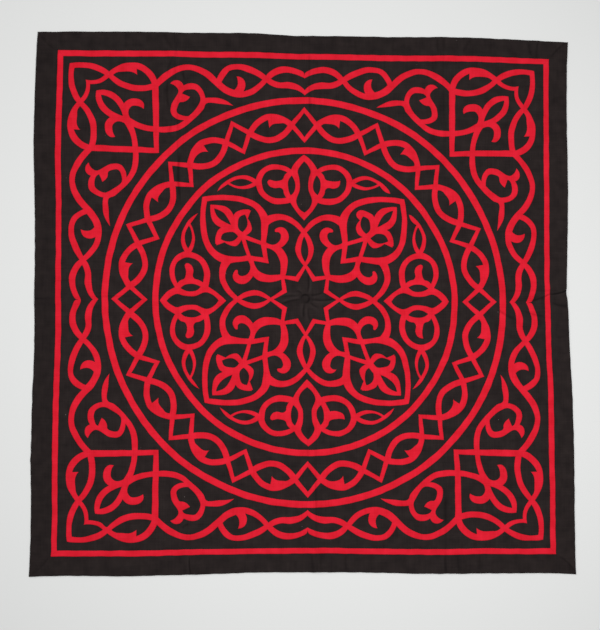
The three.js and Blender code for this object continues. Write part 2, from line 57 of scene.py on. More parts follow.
# The ground cloth: its uncut square, how its edges' sway fades to the middle, its ruled lines and the finer
# ones at its creases, the hem that the border covers, and how high its underside lies
HALF_SIDE = 515.0
PANEL_MIDDLE = np.array([2.0, -3.25])
SWAY_FADE = 6
SWAY_LIMIT = 20.0
GROUND_THICK = 1.2
GROUND_CELL = 6.4
HEM_COVER = 1.3
FOLD_RULES = (1.3, 2.6, 4.2, 7.5)
CREASE_CUTS = 3
OPEN_GROUND = 470.0
HEM_REACH = 14.0
FLOOR_CLEARANCE = 0.1
LYING_HEIGHT = 0.5
LEAST_HEIGHT = 0.05

# Sewn-on cloth: how it lies on the ground, its rounded turned edge, and how close its points are
PIECE_THICK = 0.95
PIECE_GAP = 0.2
EDGE_ROWS = (0.5, 1.6)
EDGE_ROW_ROOM = 0.92
EDGE_ROUND = {"distance": (0.0, 0.5, 1.6, 4.0), "share": (0.4, 0.82, 1.0, 1.0)}
RIM_STEP = 2.5
LATTICE = 4.0
LATTICE_CLEARANCE = 2.6

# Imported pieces: how near two of their corners are to be one, and how far up a face looks to be an upper one
WELD = 1e-5
FACES_UP = 0.5

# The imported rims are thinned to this, so a turn that stands out more from its chords is a true corner
RIM_TOLERANCE = 1.1
CORNER_LEAD = 1.25
SURE_CORNER_TURN = math.radians(80)
STRAIGHT_TURN = math.radians(0.3)
GENTLE_TURN = math.radians(4)

# Unevenness of hand cutting, shared by all pieces so that neighbours stay apart
HAND_WARPS = (
    {"reach": 0.7, "wave": 17.0, "across_seed": 3.7, "up_seed": 8.3},
    {"reach": 1.6, "wave": 110.0, "across_seed": 11.2, "up_seed": 19.6},
)

# Tucks that draw the right edge in where the level fold runs over it: a long shallow one and a short one
RIGHT_TUCKS = (
    {"at": 30, "half_length": 35, "depth": 2.4},
    {"at": 19, "half_length": 8, "depth": 1.7},
)
TUCK_REACH = {"from": 440, "to": 510}

# Storage folds from edge to edge, three upright and one level. Each is a broad soft ridge with a pressed line
# on its crest, which wanders a little. How deep it is pressed, and how dark the shade painted along it, is
# given at five even places along it.
FOLDS = (
    {"from": (-211, -518), "to": (-252, 512), "rise": 0.6, "spread": 16, "wander": 2.4, "width": 2.4,
     "pressed_and_shaded": (0.12, 0.06, 0.05, 0.14, 0.16)},
    {"from": (22, -518), "to": (6, 512), "rise": 2.0, "spread": 22, "wander": 1.6, "width": 2.2,
     "pressed_and_shaded": (0.34, 0.16, 0.10, 0.22, 0.32)},
    {"from": (267, -518), "to": (272, 512), "rise": 0.5, "spread": 14, "wander": 2.2, "width": 2.4,
     "pressed_and_shaded": (0.20, 0.06, 0.04, 0.08, 0.30)},
    {"from": (-513, 1), "to": (517, 23), "rise": 2.4, "spread": 22, "wander": 1.6, "width": 2.2,
     "pressed_and_shaded": (0.32, 0.08, 0.10, 0.06, 0.20)},
)

# Waves along a fold, each with its share: how it wanders, and how its pressed line comes and goes. The fold's
# own sizes shift them, so that no two folds are alike.
WANDER = {"slow_waves": 1.3, "slow": 0.65, "quick_waves": 4.1, "quick": 0.35, "shift": 7}
COMING = {"slow_waves": 5.3, "slow": 0.4, "quick_waves": 13.7, "quick": 0.25, "shift": 5}
COMING_RANGE = {"middle": 0.75, "most": 1.3}

# Short creases, by the side of the panel that they are near, at the mitres of the border, and inside, each with
# painted shade along it. A wide one is a soft painted shade rather than a line.
TOP_CREASES = (
    {"from": (-467, 512), "to": (-466, 480), "pressed_and_shaded": 0.16, "width": 3.0},
    {"from": (-345, 512), "to": (-343, 482), "pressed_and_shaded": 0.15, "width": 3.0},
    {"from": (-273, 518), "to": (-253, 482), "pressed_and_shaded": 0.22, "width": 3.2},
    {"from": (-247, 500), "to": (-246, 466), "pressed_and_shaded": 0.20, "width": 2.2},
    {"from": (-170, 516), "to": (-169, 484), "pressed_and_shaded": 0.15, "width": 3.2},
    {"from": (99, 510), "to": (103, 474), "pressed_and_shaded": 0.15, "width": 3.2},
    {"from": (175, 516), "to": (171, 484), "pressed_and_shaded": 0.20, "width": 2.8},
    {"from": (259, 518), "to": (261, 484), "pressed_and_shaded": 0.30, "width": 2.8},
    {"from": (328, 518), "to": (308, 486), "pressed_and_shaded": 0.24, "width": 3.0},
    {"from": (368, 516), "to": (363, 486), "pressed_and_shaded": 0.18, "width": 3.4},
    {"from": (438, 516), "to": (444, 482), "pressed_and_shaded": 0.36, "width": 2.4},
    {"from": (458, 514), "to": (453, 478), "pressed_and_shaded": 0.34, "width": 2.4},
    {"from": (60, 512), "to": (58, 482), "pressed_and_shaded": 0.10, "width": 8.0},
    {"from": (405, 514), "to": (402, 482), "pressed_and_shaded": 0.12, "width": 9.0},
)
BOTTOM_CREASES = (
    {"from": (-217, -482), "to": (-213, -522), "pressed_and_shaded": 0.65, "width": 1.3},
    {"from": (14, -516), "to": (10, -476), "pressed_and_shaded": 0.28, "width": 2.4},
    {"from": (31, -476), "to": (31, -516), "pressed_and_shaded": 0.30, "width": 2.6},
    {"from": (77, -478), "to": (78, -512), "pressed_and_shaded": 0.22, "width": 3.0},
    {"from": (190, -478), "to": (189, -512), "pressed_and_shaded": 0.14, "width": 4.0},
    {"from": (266, -480), "to": (268, -516), "pressed_and_shaded": 0.36, "width": 2.2},
    {"from": (288, -480), "to": (294, -512), "pressed_and_shaded": 0.14, "width": 3.0},
    {"from": (333, -480), "to": (331, -511), "pressed_and_shaded": 0.24, "width": 3.0},
    {"from": (128, -478), "to": (130, -512), "pressed_and_shaded": 0.10, "width": 7.0},
    {"from": (402, -480), "to": (404, -512), "pressed_and_shaded": 0.12, "width": 6.0},
    {"from": (466, -478), "to": (474, -516), "pressed_and_shaded": 0.14, "width": 11.0},
)
RIGHT_CREASES = (
    {"from": (472, 15), "to": (512, 25), "pressed_and_shaded": 0.9, "width": 1.5},
    {"from": (434, 2), "to": (476, 18), "pressed_and_shaded": 0.60, "width": 1.6},
    {"from": (476, 0), "to": (515, -9), "pressed_and_shaded": 0.42, "width": 2.2},
    {"from": (370, -13), "to": (406, -33), "pressed_and_shaded": 0.36, "width": 2.2},
    {"from": (420, -16), "to": (466, -27), "pressed_and_shaded": 0.32, "width": 2.2},
    {"from": (484, -68), "to": (514, -60), "pressed_and_shaded": 0.18, "width": 3.2},
    {"from": (484, -118), "to": (512, -112), "pressed_and_shaded": 0.12, "width": 4.0},
    {"from": (514, 402), "to": (484, 398), "pressed_and_shaded": 0.14, "width": 5.0},
)
LEFT_CREASES = (
    {"from": (-516, -52), "to": (-480, -50), "pressed_and_shaded": 0.14, "width": 4.0},
    {"from": (-514, 452), "to": (-484, 470), "pressed_and_shaded": 0.16, "width": 8.0},
)
MITRE_CREASES = (
    {"from": (517, 515), "to": (482, 482), "pressed_and_shaded": 0.40, "width": 1.6},
    {"from": (517, -517), "to": (484, -484), "pressed_and_shaded": 0.42, "width": 1.6},
    {"from": (-515, -519), "to": (-478, -484), "pressed_and_shaded": 0.24, "width": 1.6},
    {"from": (-512, 512), "to": (-478, 478), "pressed_and_shaded": 0.20, "width": 1.6},
)
INNER_CREASES = (
    {"from": (-255, 468), "to": (-266, 432), "pressed_and_shaded": 0.30, "width": 2.6},
    {"from": (-236, 441), "to": (-231, 423), "pressed_and_shaded": 0.50, "width": 2.0},
    {"from": (-238, 430), "to": (-240, 300), "pressed_and_shaded": 0.18, "width": 2.4},
    {"from": (-239, 286), "to": (-238, 186), "pressed_and_shaded": 0.46, "width": 2.6},
    {"from": (-264, 424), "to": (-263, 372), "pressed_and_shaded": 0.46, "width": 2.4},
    {"from": (-257, 340), "to": (-261, 314), "pressed_and_shaded": 0.30, "width": 2.6},
    {"from": (-197, 368), "to": (-201, 344), "pressed_and_shaded": 0.28, "width": 2.6},
    {"from": (-218, -421), "to": (-232, -430), "pressed_and_shaded": 0.36, "width": 2.4},
    {"from": (271, -366), "to": (268, -424), "pressed_and_shaded": 0.34, "width": 4.2},
    {"from": (268, 415), "to": (267, 330), "pressed_and_shaded": 0.22, "width": 4.2},
    {"from": (18, 445), "to": (14, 330), "pressed_and_shaded": 0.14, "width": 2.4},
    {"from": (8, -230), "to": (10, -330), "pressed_and_shaded": 0.14, "width": 2.4},
)
CREASES = TOP_CREASES + BOTTOM_CREASES + RIGHT_CREASES + LEFT_CREASES + MITRE_CREASES + INNER_CREASES

# Puckers where the folds cross in the middle of the star, round a small knot
PUCKERS = (
    {"from": (4, 13), "to": (5.5, 54), "pressed_and_shaded": 0.58, "width": 1.7},
    {"from": (-6, 13), "to": (-19, 21), "pressed_and_shaded": 0.34, "width": 1.7},
    {"from": (9, 9), "to": (36, 17), "pressed_and_shaded": 0.36, "width": 1.7},
    {"from": (10, 2), "to": (60, 4), "pressed_and_shaded": 0.60, "width": 1.7},
    {"from": (9, -4), "to": (27, -14), "pressed_and_shaded": 0.38, "width": 1.7},
    {"from": (-1, -5), "to": (-3, -34), "pressed_and_shaded": 0.52, "width": 1.7},
    {"from": (6, -12), "to": (9, -40), "pressed_and_shaded": 0.38, "width": 1.7},
    {"from": (-8, 2), "to": (-46, -7), "pressed_and_shaded": 0.60, "width": 1.7},
    {"from": (-12, 8), "to": (-48, 6), "pressed_and_shaded": 0.34, "width": 1.7},
)

# Pressed lines: how deep they sink, how a crease bows and fades at its ends, the room that the finer ground
# gives it, the rows of points along it, and where the cloth swells beside it
PRESS_DEPTH = 1.1
CREASE_BOW = 0.05
CREASE_FADE = 6
CREASE_ROOM = 9.0
CREASE_OVERRUN = 0.1
LINE_RULES = (-2.6, -1.3, 0.0, 1.3, 2.6)
SWELL = {"aside": 2.2, "width": 1.5}

# The knot where the folds cross, a bump with a sunken collar, with painted shade in the collar that is darker
# on two sides
KNOT = {"at": (0.0, 3.5), "radius": 6.5, "height": 1.3, "collar": 2.0, "collar_depth": 0.5, "pressed_and_shaded": 0.7}
KNOT_SHADED_SIDES = (math.radians(95), math.radians(-35))
KNOT_SHADE = {"even": 0.25, "least": 0.1}

# How far the cloth swells beside each kind of pressed line, and how pale a highlight is painted on the swell
LINE_KINDS = (
    {"lines": FOLDS, "swell": 0.4, "swell_highlight": 0.15},
    {"lines": CREASES, "swell": 0.5, "swell_highlight": 0.2},
    {"lines": PUCKERS, "swell": 0.8, "swell_highlight": 0.7},
)

# Slow unevenness of the lying cloth: sine waves over the floor
UNDULATIONS = (
    {"wave": 143.0, "heading": 0.4, "phase": 0.3, "height": 0.16},
    {"wave": 97.0, "heading": 1.9, "phase": 2.1, "height": 0.12},
    {"wave": 61.0, "heading": 2.8, "phase": 4.0, "height": 0.08},
)

# Slip stitches over the turned edges of the red cloth, each of which draws the edge in a little. A stitch
# slants from its hold on the cloth to the ground outside, and is left out where that hold has no room. Its
# heights are those on the cloth, over the edge and at the ground.
STITCH_PITCH = 5.0
STITCH_DENT = 0.2
STITCH_THREAD = 0.42
STITCH_SLANT = (0.2, 0.7)
STITCH_HOLD = (0.8, 1.2)
STITCH_ROOM = 0.7
STITCH_OVER = 0.15
STITCH_OUT = 0.5
STITCH_SEED = 7
STITCH_HEIGHTS = np.array([PIECE_GAP + 0.93 * PIECE_THICK, PIECE_GAP + 0.68 * PIECE_THICK, 0.05])

# Mitred ends of the border and frame strips, butted together: half of the gap that is closed, and how
# slanting they are
BUTT_REACH = 0.13
MITRE_SLANT = 0.3

# Cloth colours, among them the painted shade of pressed lines and the painted highlight beside them, the sizes
# of their yarn, mottle and lint, and their matt finish
BLACK = {"plain": "#1f1a1a", "pale": "#2f2827", "pressed_and_shaded": "#0b0809", "swell_highlight": "#3b3332", "lint": "#6d6362"}
RED = {"plain": "#cc1727", "pale": "#e82338", "pressed_and_shaded": "#740911", "swell_highlight": "#e63a4a", "lint": "#e44853"}
YARN_STREAK = (60.0, 2.0)
STREAK_SHARE = 0.45
MOTTLE = 20.0
TONE_REACH = 0.34
THREAD = 0.8
THREAD_RELIEF = 0.08
RELIEF_STRENGTH = 0.5
LINT = {"apart": 75.0, "share": 0.2, "radius": 0.8}
MATT = {"smoothest": 0.86, "roughest": 0.97}
FIBRE_SPECULAR = 0.05
FIBRE_SHEEN = 0.04

# Painted shade: how much darker each border strip is painted, for how the light falls on the grain that it was
# cut on
BORDER_GRAIN_SHADE = {"top": 0.06, "right": 0.0, "bottom": 0.03, "left": 0.12}

# Studio: a pale floor, a soft light overhead and a broad one from the upper left, in metres, and how many
# millimetres the floor lies below the cloth's frame
FLOOR_HALF = 8.0
FLOOR_DROP = 0.3
FLOOR_COLOUR = "#e7e8e7"
FLOOR_ROUGHNESS = 0.9
FLOOR_SPECULAR = 0.1
SKY_COLOUR = "#ffffff"
SKY_STRENGTH = 0.15
STUDIO_LIGHTS = (
    {"name": "soft_top", "at": (0.18, -0.09, 2.0), "size": 1.0, "watts": 35},
    {"name": "soft_key", "at": (-2.2, 1.8, 2.4), "size": 1.6, "watts": 26},
)


# Outlines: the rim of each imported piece, redrawn as cut and turned by hand

def upper_rings(node):
    """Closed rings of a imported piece's upper face, in millimetres, the cloth on their left from above."""
    face = bmesh.new()
    face.from_mesh(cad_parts[node].data)
    bmesh.ops.remove_doubles(face, verts=face.verts, dist=WELD)
    under = [side for side in face.faces if side.normal.z < FACES_UP]
    bmesh.ops.delete(face, geom=under, context="FACES")
    onward = {}
    for edge in face.edges:
        if edge.is_boundary:
            corner = edge.link_loops[0]
            onward.setdefault(corner.vert, []).append(corner.link_loop_next.vert)
    rings = []
    while onward:
        vert = next(iter(onward))
        ring = []
        while vert in onward:
            ring.append(vert.co.xy / MM)
            after = onward[vert].pop()
            if not onward[vert]:
                del onward[vert]
            vert = after
        rings.append(ring)
    face.free()
    return rings


def turns_of(ring):
    """How far the ring turns at each of its points, in radians."""
    turns = []
    for index, here in enumerate(ring):
        ahead = ring[(index + 1) % len(ring)] - here
        behind = here - ring[index - 1]
        turns.append(math.atan2(behind.cross(ahead), behind.dot(ahead)))
    return turns


def straight_length(ring, turns, index, step):
    """How far the ring runs on from a point, one way or the other, to the next place where it truly turns."""
    length = 0.0
    for _ in ring:
        onward = (index + step) % len(ring)
        length += (ring[onward] - ring[index]).length
        index = onward
        if abs(turns[index]) > GENTLE_TURN:
            break
    return length


def corners_of(ring):
    """Places where the ring has a true corner, not a step of a bend that the thinned rim takes in chords."""
    turns = turns_of(ring)
    corners = []
    for index, turn in enumerate(turns):
        shorter = min(straight_length(ring, turns, index, step) for step in (-1, 1))
        stands_out = shorter / 2 * math.tan(abs(turn) / 4)
        if stands_out > CORNER_LEAD * RIM_TOLERANCE or abs(turn) > SURE_CORNER_TURN:
            corners.append(index)
    return corners


def smooth_run(points, closed):
    """Points one rim step apart on a smooth curve through the given ones, without the last."""
    if closed:
        points = points + points[:1]
    chords = [after - before for before, after in zip(points, points[1:])]
    lengths = [chord.length for chord in chords]
    units = [chord / length for chord, length in zip(chords, lengths)]
    inner = []
    for index in range(len(units) - 1):
        before, after = lengths[index], lengths[index + 1]
        inner.append((units[index] * after + units[index + 1] * before) / (before + after))
    if closed:
        before, after = lengths[-1], lengths[0]
        first = (units[-1] * after + units[0] * before) / (before + after)
        headings = [first, *inner, first]
    elif inner:
        headings = [units[0] * 2 - inner[0], *inner, units[-1] * 2 - inner[-1]]
    else:
        headings = [units[0], units[0]]
    run = []
    for index, length in enumerate(lengths):
        start, end = points[index], points[index + 1]
        pieces = max(round(length / RIM_STEP), 1)
        leave = start + headings[index] * length / 3
        arrive = end - headings[index + 1] * length / 3
        run += geometry.interpolate_bezier(start, leave, arrive, end, pieces + 1)[:-1]
    return run


def hand_cut(point):
    """A point of an ideal outline where the maker's scissors and needle left it."""
    shift = Vector((0.0, 0.0))
    for warp in HAND_WARPS:
        place = point / warp["wave"]
        across = noise.noise((*place, warp["across_seed"]))
        up = noise.noise((*place, warp["up_seed"]))
        shift += Vector((across, up)) * warp["reach"]
    return point + shift + Vector((edge_tuck(point), 0.0))


def edge_tuck(point):
    """How far the right edge moves where the level fold runs over it."""
    drawn_in = 0.0
    for tuck in RIGHT_TUCKS:
        drawn_in += tuck["depth"] * math.exp(-(((point.y - tuck["at"]) / tuck["half_length"]) ** 2))
    near = (point.x - TUCK_REACH["from"]) / (TUCK_REACH["to"] - TUCK_REACH["from"])
    return -drawn_in * min(max(near, 0), 1) ** 2


def cut_ring(ring):
    """The ring with its corners kept and smooth curves between them, as cut by hand."""
    turns = turns_of(ring)
    ring = [point for point, turn in zip(ring, turns) if abs(turn) > STRAIGHT_TURN]
    corners = corners_of(ring)
    if not corners:
        line = smooth_run(ring, closed=True)
    else:
        ring = ring[corners[0]:] + ring[:corners[0]] + [ring[corners[0]]]
        marks = [corner - corners[0] for corner in corners] + [len(ring) - 1]
        line = []
        for start, end in zip(marks, marks[1:]):
            line += smooth_run(ring[start:end + 1], closed=False)
    return [hand_cut(point) for point in line]


# Relief: how high the lying cloth rises at a place, in millimetres

def across_line(row, places):
    """Distance of each place to the side of a row's line, and its share of the way along it."""
    start, end = np.array(row["from"], float), np.array(row["to"], float)
    along = (end - start) / np.linalg.norm(end - start)
    offset = places - start
    share = offset @ along / np.linalg.norm(end - start)
    aside = offset @ np.array([along[1], -along[0]])
    return aside, share


def stray_of(line, share):
    """How far a pressed line strays from straight at a share of the way: a fold wanders, a crease bows."""
    if "wander" in line:
        slow = np.sin(2 * np.pi * (WANDER["slow_waves"] * share + line["rise"]))
        quick = np.sin(2 * np.pi * (WANDER["quick_waves"] * share + line["spread"] / WANDER["shift"]))
        return line["wander"] * (WANDER["slow"] * slow + WANDER["quick"] * quick)
    return CREASE_BOW * math.dist(line["from"], line["to"]) * np.sin(np.pi * share)


def strength_of(line, share):
    """How deep a line is pressed and how dark its painted shade is at a share of the way: a fold comes and
    goes, a crease fades out.
    """
    if "wander" in line:
        stations = np.linspace(0, 1, len(line["pressed_and_shaded"]))
        slow = np.sin(2 * np.pi * (COMING["slow_waves"] * share + line["spread"] / COMING["shift"]))
        quick = np.sin(2 * np.pi * (COMING["quick_waves"] * share + line["width"]))
        coming = COMING_RANGE["middle"] + COMING["slow"] * slow + COMING["quick"] * quick
        return np.interp(share, stations, line["pressed_and_shaded"]) * np.clip(coming, 0, COMING_RANGE["most"])
    return line["pressed_and_shaded"] * np.clip(CREASE_FADE * share * (1 - share), 0, 1)


def hump(distance, spread):
    """A soft round ridge of height one."""
    return np.clip(1 - (distance / spread) ** 2, 0, None) ** 2


def pressed_lines(places):
    """For each pressed line its kind, and at each place how pressed it is, how much it sinks and swells."""
    for kind in LINE_KINDS:
        for line in kind["lines"]:
            aside, share = across_line(line, places)
            groove, swell = groove_and_swell(aside - stray_of(line, share), line["width"])
            yield kind, strength_of(line, share), groove, swell


def from_knot(places):
    """Distance of each place from the middle of the knot, and its heading there."""
    offset = places - KNOT["at"]
    return np.linalg.norm(offset, axis=1), np.arctan2(offset[:, 1], offset[:, 0])


def knot_collar(radius):
    """How near a place is to the sunken collar of the knot, as a share."""
    return np.exp(-(((radius - KNOT["radius"] - KNOT["collar"] / 2) / KNOT["collar"]) ** 2))


def groove_and_swell(aside, width):
    """A pressed line across its run: where it sinks, and where the cloth swells beside it."""
    groove = np.exp(-((aside / width) ** 2))
    swell = np.exp(-(((aside - SWELL["aside"] * width) / (SWELL["width"] * width)) ** 2))
    return groove, swell


def crease_shade_and_highlight(places):
    """Painted shade at each place, from the pressed lines and the knot's collar, and the painted highlight on
    the swells beside the lines, from 0 to 1.
    """
    # The knot's collar gets painted shade, darker on two sides; each pressed line gets painted shade, with a
    # painted highlight on its swells
    radius, heading = from_knot(places)
    lobes = np.max([np.cos(heading - side) for side in KNOT_SHADED_SIDES], axis=0)
    even = KNOT_SHADE["even"]
    shade = np.clip(even + (1 - even) * lobes, KNOT_SHADE["least"], 1)
    pressed_and_shaded = KNOT["pressed_and_shaded"] * knot_collar(radius) * shade
    swell_highlight = np.zeros(len(places))
    for kind, strength, groove, swell in pressed_lines(places):
        pressed_and_shaded += strength * groove
        swell_highlight += kind["swell_highlight"] * strength * swell
    return np.clip(pressed_and_shaded, 0, 1), np.clip(swell_highlight, 0, 1)


def pressed_height(places):
    """How far the cloth sinks in its pressed lines and swells beside them, with the knot."""
    radius, _ = from_knot(places)
    height = KNOT["height"] * hump(radius, KNOT["radius"]) - KNOT["collar_depth"] * knot_collar(radius)
    for kind, strength, groove, swell in pressed_lines(places):
        height += PRESS_DEPTH * strength * (kind["swell"] * swell - groove)
    return height


def lift(places):
    """Height of the cloth's underside above the floor at each place."""
    height = np.full(len(places), LYING_HEIGHT)
    for wave in UNDULATIONS:
        run = places[:, 0] * math.cos(wave["heading"]) + places[:, 1] * math.sin(wave["heading"])
        height += wave["height"] * np.sin(2 * np.pi * run / wave["wave"] + wave["phase"])
    for fold in FOLDS:
        aside, _ = across_line(fold, places)
        height += fold["rise"] * hump(aside, fold["spread"])
    height += pressed_height(places)
    return np.clip(height, LEAST_HEIGHT, None)


def ground_top(places):
    """Height of the ground cloth's face above the floor at each place."""
    return GROUND_THICK + lift(places)


# Meshes

def cloth_object(name, mesh, material):
    """A piece of the panel, shaded smooth, which rides with it."""
    mesh.shade_smooth()
    mesh.materials.append(material)
    piece = bpy.data.objects.new(name, mesh)
    bpy.context.scene.collection.objects.link(piece)
    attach(piece, BODY)
    return piece


def piece_object(name, vertices, faces, material):
    """A piece of the panel from its faces and its vertices in millimetres."""
    mesh = bpy.data.meshes.new(name)
    mesh.from_pydata((np.asarray(vertices) * MM).tolist(), [], faces)
    return cloth_object(name, mesh, material)


def store_painted_crease_light(piece, grain_shade=0.0):
    """Keeps the painted shade of the pressed lines and the painted highlight beside them at each point for its
    material, with the strip's painted grain shade.
    """
    mesh = piece.data
    places = np.array([vertex.co.xy for vertex in mesh.vertices]) / MM
    pressed_and_shaded, swell_highlight = crease_shade_and_highlight(places)
    # Painted shade and painted highlight, stored as attributes for the material
    for name, tone in (("pressed_and_shaded", np.clip(pressed_and_shaded + grain_shade, 0, 1)), ("swell_highlight", swell_highlight)):
        mesh.attributes.new(name, "FLOAT", "POINT").data.foreach_set("value", tone.astype(np.float32))


def inward_of(ring):
    """The direction to the cloth's inside at each point of a ring."""
    directions = []
    for index in range(len(ring)):
        along = (ring[(index + 1) % len(ring)] - ring[index - 1]).normalized()
        directions.append(Vector((-along.y, along.x)))
    return directions


def tree_of(points):
    """A tree of flat points, to find the nearest."""
    tree = kdtree.KDTree(len(points))
    for index, point in enumerate(points):
        tree.insert(point.to_3d(), index)
    tree.balance()
    return tree


class Rim:
    """The rim points of a piece, with the direction to the cloth's inside at each. Slip stitches draw a sewn
    rim in. A butted rim reaches its neighbours at its mitred ends, and isn't turned under there."""

    def __init__(self, rings, sewn=False, butted=False):
        every = round(STITCH_PITCH / RIM_STEP)
        self.rings, self.points, self.inward, self.stitched = [], [], [], []
        turned = []
        for ring in rings:
            moved = []
            for index, (point, inward) in enumerate(zip(ring, inward_of(ring))):
                mitred = butted and min(abs(inward.x), abs(inward.y)) > MITRE_SLANT
                if mitred:
                    point = point - inward * BUTT_REACH
                elif sewn and index % every == 0:
                    point = point + inward * STITCH_DENT
                    self.stitched.append((point, inward))
                if not mitred:
                    turned.append(point)
                moved.append(point)
                self.inward.append(inward)
            self.rings.append(moved)
            self.points += moved
        self.tree = tree_of(self.points)
        self.turned = tree_of(turned)

    def distance(self, place):
        """How far a place is from the nearest point of the rim."""
        return self.tree.find(place.to_3d())[2]

    def holds(self, place, clearance):
        """Whether a place is inside the cloth and that far from its rim."""
        nearest, index, distance = self.tree.find(place.to_3d())
        return distance > clearance and (place - nearest.xy).dot(self.inward[index]) > 0

    def loops(self):
        """The rim's points as lists of numbers, one list for each ring."""
        start = 0
        for ring in self.rings:
            yield list(range(start, start + len(ring)))
            start += len(ring)


def inner_points(rim):
    """Points inside a piece: rows beside its rim, an even lattice, and rows along the folds and creases."""
    points = []
    for point, inward in zip(rim.points, rim.inward):
        for depth in EDGE_ROWS:
            place = point + inward * depth
            if rim.distance(place) > EDGE_ROW_ROOM * depth:
                points.append(place)
    xs = [point.x for point in rim.points]
    ys = [point.y for point in rim.points]
    corner = Vector((min(xs), min(ys)))
    row_height = LATTICE * math.sqrt(0.75)
    columns = int((max(xs) - corner.x) / LATTICE)
    rows = int((max(ys) - corner.y) / row_height)
    for row in range(rows):
        for column in range(columns):
            place = corner + Vector(((column + 0.5 * (row % 2)) * LATTICE, row * row_height))
            if rim.holds(place, LATTICE_CLEARANCE):
                points.append(place)
    for line in FOLDS + CREASES:
        points += [place for place in rows_along(line) if rim.holds(place, EDGE_ROWS[-1])]
    return points


def rows_along(line):
    """Places in close rows along a pressed line."""
    start, end = Vector(line["from"]), Vector(line["to"])
    length = (end - start).length
    aside = Vector((end.y - start.y, start.x - end.x)) / length
    for step in range(int(length / RIM_STEP) + 1):
        share = step * RIM_STEP / length
        middle = start.lerp(end, share) + aside * stray_of(line, share)
        for rule in LINE_RULES:
            yield middle + aside * rule


def cut_triangles(rim):
    """Places and triangles of a cut piece, its rim points first."""
    loops = list(rim.loops())
    outer = max(range(len(loops)), key=lambda index: ring_area(rim.rings[index]))
    outlines = [loop if index == outer else loop[::-1] for index, loop in enumerate(loops)]
    places = rim.points + inner_points(rim)
    places, _, triangles, _, _, owners = geometry.delaunay_2d_cdt(places, [], outlines, 1, WELD)
    kept = [triangle for triangle, owner in zip(triangles, owners) if owner == [outer]]
    return np.array([place[:] for place in places]), kept


def ring_area(ring):
    """Area inside a ring, negative for a hole."""
    return sum(ring[index - 1].cross(point) for index, point in enumerate(ring)) / 2


def edge_share(rim, places):
    """Height of the rounded turned edge at each place, as a share of the cloth's thickness."""
    distances = [rim.turned.find((*place, 0.0))[2] for place in places]
    return np.interp(distances, EDGE_ROUND["distance"], EDGE_ROUND["share"])


def sewn_sheet(node, material, covers_hem=False, sewn=False, butted=False, grain_shade=0.0):
    """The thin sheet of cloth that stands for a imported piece, turned under all round, on the ground."""
    rim = Rim([cut_ring(ring) for ring in upper_rings(node)], sewn, butted)
    places, triangles = cut_triangles(rim)
    seat = ground_top(places) + PIECE_GAP
    top = seat + PIECE_THICK * edge_share(rim, places)
    if covers_hem:
        outside = np.abs(places - PANEL_MIDDLE).max(axis=1) > HALF_SIDE - HEM_REACH
        at_rim = np.arange(len(places)) < len(rim.points)
        seat = np.where(outside & at_rim, lift(places) + FLOOR_CLEARANCE, seat)
    count = len(places)
    vertices = np.vstack([np.column_stack([places, top]), np.column_stack([places, seat])])
    faces = [tuple(triangle) for triangle in triangles]
    faces += [tuple(count + corner for corner in reversed(triangle)) for triangle in triangles]
    for loop in rim.loops():
        for index, corner in enumerate(loop):
            before = loop[index - 1]
            faces.append((count + before, count + corner, corner, before))
    used = sorted({corner for face in faces for corner in face})
    renumber = {old: new for new, old in enumerate(used)}
    faces = [tuple(renumber[corner] for corner in face) for face in faces]
    piece = piece_object(f"{node}_cloth", vertices[used], faces, material)
    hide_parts(node)
    store_painted_crease_light(piece, grain_shade)
    return piece, rim


# Ground cloth

def ruled_span(low, high, count):
    """Places of ruled lines from one fold to the next: close beside the folds, even between."""
    near = np.array(FOLD_RULES)
    even = np.linspace(low + near[-1], high - near[-1], count + 1)[1:-1]
    return np.concatenate([[low], low + near, even, high - near[::-1]])


def ruled_lines(knots, counts):
    """Places of all ruled lines from edge to edge, the folds at the knots."""
    spans = [ruled_span(low, high, count) for low, high, count in zip(knots, knots[1:], counts)]
    return np.concatenate([*spans, [knots[-1]]])


def fold_place(fold, axis, level):
    """Where a fold crosses a level line of the floor, on the given axis."""
    start, end = np.array(fold["from"], float), np.array(fold["to"], float)
    share = (level - start[1 - axis]) / (end[1 - axis] - start[1 - axis])
    side = 1 if axis == 0 else -1
    return start[axis] + share * (end[axis] - start[axis]) + side * stray_of(fold, share)


def sway_of_edges():
    """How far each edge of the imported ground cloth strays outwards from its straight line, along the edge."""
    ring = np.array([point[:] for point in upper_rings("ground_cloth")[0]]) - PANEL_MIDDLE
    sway = {}
    for axis in (0, 1):
        for sign in (-1, 1):
            edge = ring[np.abs(ring[:, axis] * sign - HALF_SIDE) < SWAY_LIMIT]
            edge = edge[np.argsort(edge[:, 1 - axis])]
            sway[axis, sign] = (edge[:, 1 - axis], edge[:, axis] - sign * HALF_SIDE)
    return sway


def laid(places, sway):
    """Flat places of the ground cloth as they lie, with the sway of the nearest edges and the hand's warp."""
    inset = (HALF_SIDE - HEM_COVER) / HALF_SIDE
    shares = places / HALF_SIDE
    moved = places * inset
    for axis in (0, 1):
        for sign in (-1, 1):
            along, offset = sway[axis, sign]
            near = shares[:, axis] * sign > 0
            pull = np.interp(places[:, 1 - axis], along, offset) * shares[:, axis] ** SWAY_FADE
            moved[:, axis] += np.where(near, pull, 0)
    warped = [hand_cut(Vector(place))[:] for place in moved + PANEL_MIDDLE]
    return np.array(warped)


def near_creases(places):
    """Which places of the open ground are close to a crease, a pucker or the knot."""
    near = np.linalg.norm(places - KNOT["at"], axis=1) < KNOT["radius"] + CREASE_ROOM
    for line in CREASES + PUCKERS:
        aside, share = across_line(line, places)
        near |= (np.abs(aside) < CREASE_ROOM) & (np.abs(share - 0.5) < 0.5 + CREASE_OVERRUN)
    return near & (np.abs(places - PANEL_MIDDLE).max(axis=1) < OPEN_GROUND)


